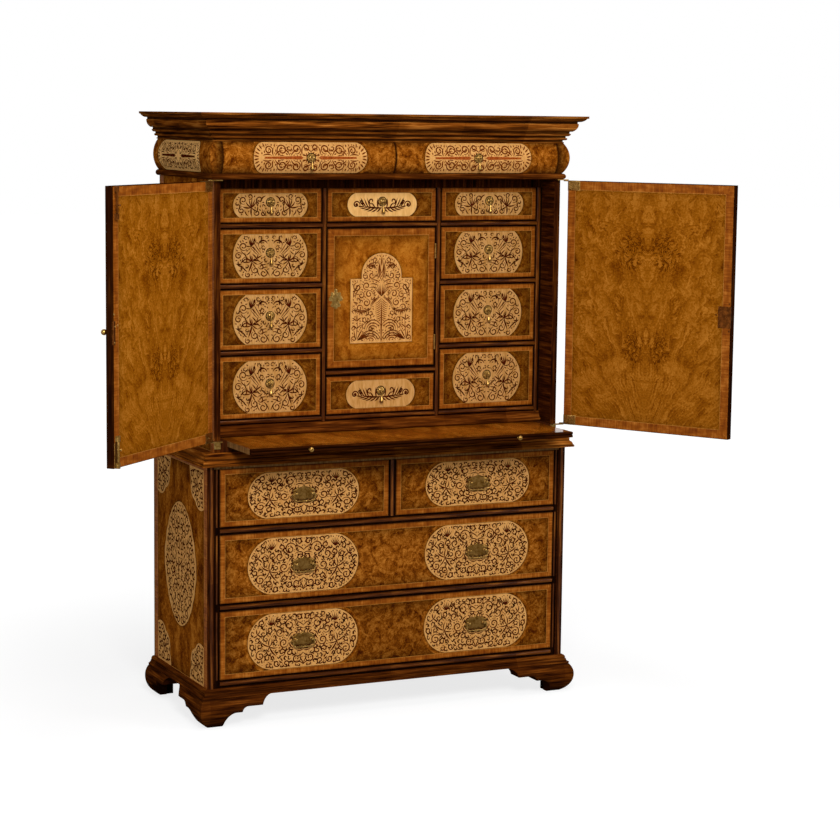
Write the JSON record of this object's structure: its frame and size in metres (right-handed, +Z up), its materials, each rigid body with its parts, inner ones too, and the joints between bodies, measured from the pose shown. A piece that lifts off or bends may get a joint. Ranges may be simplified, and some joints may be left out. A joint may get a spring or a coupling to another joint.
{
  "type": "escritoire",
  "caption": "Tall writing cabinet on a chest of drawers: hinged doors over small drawers and a cupboard, a writing slide, marquetry panels, brass handles and bracket feet.",
  "frame": {"origin": "on the floor, under the middle of the chest's front", "axes": "+X to the right as seen from the front, +Y to the back, +Z up"},
  "size_m": [1.7811, 0.9276, 1.67],
  "materials": {
    "walnut": "polished",
    "burl_walnut": "polished",
    "marquetry": "polished",
    "oak": "plain",
    "brass": "aged"
  },
  "bodies": {
    "carcass": {"base_moulding": "walnut", "bracket_feet": "walnut", "cabinet_boards": "oak", "cabinet_sides": "burl_walnut", "case_backs": "oak", "chest_boards": "oak", "chest_frame": "walnut", "chest_sides": "burl_walnut", "cornice": "walnut", "frieze_mouldings": "walnut", "hinge_plates": "brass", "nest_base_moulding": "walnut", "nest_frame": "walnut", "waist_moulding": "walnut"},
    "left_door": {"left_door": "burl_walnut", "left_door_brass": "brass"},
    "right_door": {"right_door": "burl_walnut", "right_door_brass": "brass"},
    "left_top_bolt": {"left_top_bolt": "brass"},
    "left_bottom_bolt": {"left_bottom_bolt": "brass"},
    "lock_bolt": {"lock_bolt": "brass"},
    "cupboard": {"cupboard_door": "marquetry", "cupboard_brass": "brass"},
    "writing_slide": {"writing_slide": "burl_walnut", "slide_knobs": "brass"},
    "short_drawer_left": {"short_drawer_left": "marquetry"},
    "left_top_bail": {"left_top_bail": "brass"},
    "short_drawer_right": {"short_drawer_right": "marquetry"},
    "right_top_bail": {"right_top_bail": "brass"},
    "long_drawer_upper": {"long_drawer_upper": "marquetry"},
    "left_middle_bail": {"left_middle_bail": "brass"},
    "right_middle_bail": {"right_middle_bail": "brass"},
    "long_drawer_lower": {"long_drawer_lower": "marquetry"},
    "left_bottom_bail": {"left_bottom_bail": "brass"},
    "right_bottom_bail": {"right_bottom_bail": "brass"},
    "left_drawer_1": {"left_drawer_1": "marquetry"},
    "left_pull_1": {"left_pull_1": "brass"},
    "right_drawer_1": {"right_drawer_1": "marquetry"},
    "right_pull_1": {"right_pull_1": "brass"},
    "left_drawer_2": {"left_drawer_2": "marquetry"},
    "left_pull_2": {"left_pull_2": "brass"},
    "right_drawer_2": {"right_drawer_2": "marquetry"},
    "right_pull_2": {"right_pull_2": "brass"},
    "left_drawer_3": {"left_drawer_3": "marquetry"},
    "left_pull_3": {"left_pull_3": "brass"},
    "right_drawer_3": {"right_drawer_3": "marquetry"},
    "right_pull_3": {"right_pull_3": "brass"},
    "left_drawer_4": {"left_drawer_4": "marquetry"},
    "left_pull_4": {"left_pull_4": "brass"},
    "right_drawer_4": {"right_drawer_4": "marquetry"},
    "right_pull_4": {"right_pull_4": "brass"},
    "centre_drawer_top": {"centre_drawer_top": "marquetry"},
    "centre_pull_top": {"centre_pull_top": "brass"},
    "centre_drawer_bottom": {"centre_drawer_bottom": "marquetry"},
    "centre_pull_bottom": {"centre_pull_bottom": "brass"},
    "frieze_drawer_left": {"frieze_drawer_left": "marquetry"},
    "frieze_pull_left": {"frieze_pull_left": "brass"},
    "frieze_drawer_right": {"frieze_drawer_right": "marquetry"},
    "frieze_pull_right": {"frieze_pull_right": "brass"}
  },
  "joints": [
    {"name": "left_door_hinge", "type": "hinge", "parent": "carcass", "child": "left_door", "pos_m": [-0.5377, 0.0025, 1.1395], "axis": [0, 0, -1], "range_deg": [-138, 32]},
    {"name": "right_door_hinge", "type": "hinge", "parent": "carcass", "child": "right_door", "pos_m": [0.5377, 0.0025, 1.1395], "axis": [0, 0, 1], "range_deg": [-120.7, 49.3]},
    {"name": "left_top_bolt_slide", "type": "slide", "parent": "left_door", "child": "left_top_bolt", "axis": [0, 0, 1], "range_m": [0, 0.01]},
    {"name": "left_bottom_bolt_slide", "type": "slide", "parent": "left_door", "child": "left_bottom_bolt", "axis": [0, 0, -1], "range_m": [0, 0.01]},
    {"name": "lock_bolt_slide", "type": "slide", "parent": "right_door", "child": "lock_bolt", "axis": [0.5105, -0.8599, 0], "range_m": [0, 0.008]},
    {"name": "cupboard_hinge", "type": "hinge", "parent": "carcass", "child": "cupboard", "pos_m": [0.16525, 0.0826, 1.16], "axis": [0, 0, 1], "range_deg": [0, 90]},
    {"name": "writing_slide_run", "type": "slide", "parent": "carcass", "child": "writing_slide", "axis": [0, -1, 0], "range_m": [-0.164, 0.03]},
    {"name": "short_drawer_left_run", "type": "slide", "parent": "carcass", "child": "short_drawer_left", "axis": [0, -1, 0], "range_m": [0, 0.3]},
    {"name": "left_top_bail_swing", "type": "hinge", "parent": "short_drawer_left", "child": "left_top_bail", "pos_m": [-0.268, -0.009, 0.634], "axis": [-1, 0, 0], "range_deg": [0, 75]},
    {"name": "short_drawer_right_run", "type": "slide", "parent": "carcass", "child": "short_drawer_right", "axis": [0, -1, 0], "range_m": [0, 0.3]},
    {"name": "right_top_bail_swing", "type": "hinge", "parent": "short_drawer_right", "child": "right_top_bail", "pos_m": [0.268, -0.009, 0.634], "axis": [-1, 0, 0], "range_deg": [0, 75]},
    {"name": "long_drawer_upper_run", "type": "slide", "parent": "carcass", "child": "long_drawer_upper", "axis": [0, -1, 0], "range_m": [0, 0.3]},
    {"name": "left_middle_bail_swing", "type": "hinge", "parent": "long_drawer_upper", "child": "left_middle_bail", "pos_m": [-0.268, -0.009, 0.437], "axis": [-1, 0, 0], "range_deg": [0, 75]},
    {"name": "right_middle_bail_swing", "type": "hinge", "parent": "long_drawer_upper", "child": "right_middle_bail", "pos_m": [0.268, -0.009, 0.437], "axis": [-1, 0, 0], "range_deg": [0, 75]},
    {"name": "long_drawer_lower_run", "type": "slide", "parent": "carcass", "child": "long_drawer_lower", "axis": [0, -1, 0], "range_m": [0, 0.3]},
    {"name": "left_bottom_bail_swing", "type": "hinge", "parent": "long_drawer_lower", "child": "left_bottom_bail", "pos_m": [-0.268, -0.009, 0.225], "axis": [-1, 0, 0], "range_deg": [0, 75]},
    {"name": "right_bottom_bail_swing", "type": "hinge", "parent": "long_drawer_lower", "child": "right_bottom_bail", "pos_m": [0.268, -0.009, 0.225], "axis": [-1, 0, 0], "range_deg": [0, 75]},
    {"name": "left_drawer_1_run", "type": "slide", "parent": "carcass", "child": "left_drawer_1", "axis": [0, -1, 0], "range_m": [0, 0.2]},
    {"name": "left_pull_1_swing", "type": "hinge", "parent": "left_drawer_1", "child": "left_pull_1", "pos_m": [-0.335, 0.077, 1.4285], "axis": [-1, 0, 0], "range_deg": [0, 65]},
    {"name": "right_drawer_1_run", "type": "slide", "parent": "carcass", "child": "right_drawer_1", "axis": [0, -1, 0], "range_m": [0, 0.2]},
    {"name": "right_pull_1_swing", "type": "hinge", "parent": "right_drawer_1", "child": "right_pull_1", "pos_m": [0.335, 0.077, 1.4285], "axis": [-1, 0, 0], "range_deg": [0, 65]},
    {"name": "left_drawer_2_run", "type": "slide", "parent": "carcass", "child": "left_drawer_2", "axis": [0, -1, 0], "range_m": [0, 0.2]},
    {"name": "left_pull_2_swing", "type": "hinge", "parent": "left_drawer_2", "child": "left_pull_2", "pos_m": [-0.335, 0.077, 1.2905], "axis": [-1, 0, 0], "range_deg": [0, 65]},
    {"name": "right_drawer_2_run", "type": "slide", "parent": "carcass", "child": "right_drawer_2", "axis": [0, -1, 0], "range_m": [0, 0.2]},
    {"name": "right_pull_2_swing", "type": "hinge", "parent": "right_drawer_2", "child": "right_pull_2", "pos_m": [0.335, 0.077, 1.2905], "axis": [-1, 0, 0], "range_deg": [0, 65]},
    {"name": "left_drawer_3_run", "type": "slide", "parent": "carcass", "child": "left_drawer_3", "axis": [0, -1, 0], "range_m": [0, 0.2]},
    {"name": "left_pull_3_swing", "type": "hinge", "parent": "left_drawer_3", "child": "left_pull_3", "pos_m": [-0.335, 0.077, 1.117], "axis": [-1, 0, 0], "range_deg": [0, 65]},
    {"name": "right_drawer_3_run", "type": "slide", "parent": "carcass", "child": "right_drawer_3", "axis": [0, -1, 0], "range_m": [0, 0.2]},
    {"name": "right_pull_3_swing", "type": "hinge", "parent": "right_drawer_3", "child": "right_pull_3", "pos_m": [0.335, 0.077, 1.117], "axis": [-1, 0, 0], "range_deg": [0, 65]},
    {"name": "left_drawer_4_run", "type": "slide", "parent": "carcass", "child": "left_drawer_4", "axis": [0, -1, 0], "range_m": [0, 0.2]},
    {"name": "left_pull_4_swing", "type": "hinge", "parent": "left_drawer_4", "child": "left_pull_4", "pos_m": [-0.335, 0.077, 0.931], "axis": [-1, 0, 0], "range_deg": [0, 65]},
    {"name": "right_drawer_4_run", "type": "slide", "parent": "carcass", "child": "right_drawer_4", "axis": [0, -1, 0], "range_m": [0, 0.2]},
    {"name": "right_pull_4_swing", "type": "hinge", "parent": "right_drawer_4", "child": "right_pull_4", "pos_m": [0.335, 0.077, 0.931], "axis": [-1, 0, 0], "range_deg": [0, 65]},
    {"name": "centre_drawer_top_run", "type": "slide", "parent": "carcass", "child": "centre_drawer_top", "axis": [0, -1, 0], "range_m": [0, 0.2]},
    {"name": "centre_pull_top_swing", "type": "hinge", "parent": "centre_drawer_top", "child": "centre_pull_top", "pos_m": [0, 0.077, 1.4285], "axis": [-1, 0, 0], "range_deg": [0, 65]},
    {"name": "centre_drawer_bottom_run", "type": "slide", "parent": "carcass", "child": "centre_drawer_bottom", "axis": [0, -1, 0], "range_m": [0, 0.2]},
    {"name": "centre_pull_bottom_swing", "type": "hinge", "parent": "centre_drawer_bottom", "child": "centre_pull_bottom", "pos_m": [0, 0.077, 0.898], "axis": [-1, 0, 0], "range_deg": [0, 65]},
    {"name": "frieze_drawer_left_run", "type": "slide", "parent": "carcass", "child": "frieze_drawer_left", "axis": [0, -1, 0], "range_m": [0, 0.25]},
    {"name": "frieze_pull_left_swing", "type": "hinge", "parent": "frieze_drawer_left", "child": "frieze_pull_left", "pos_m": [-0.2535, -0.013, 1.551], "axis": [-1, 0, 0], "range_deg": [0, 65]},
    {"name": "frieze_drawer_right_run", "type": "slide", "parent": "carcass", "child": "frieze_drawer_right", "axis": [0, -1, 0], "range_m": [0, 0.25]},
    {"name": "frieze_pull_right_swing", "type": "hinge", "parent": "frieze_drawer_right", "child": "frieze_pull_right", "pos_m": [0.2535, -0.013, 1.551], "axis": [-1, 0, 0], "range_deg": [0, 65]}
  ]
}
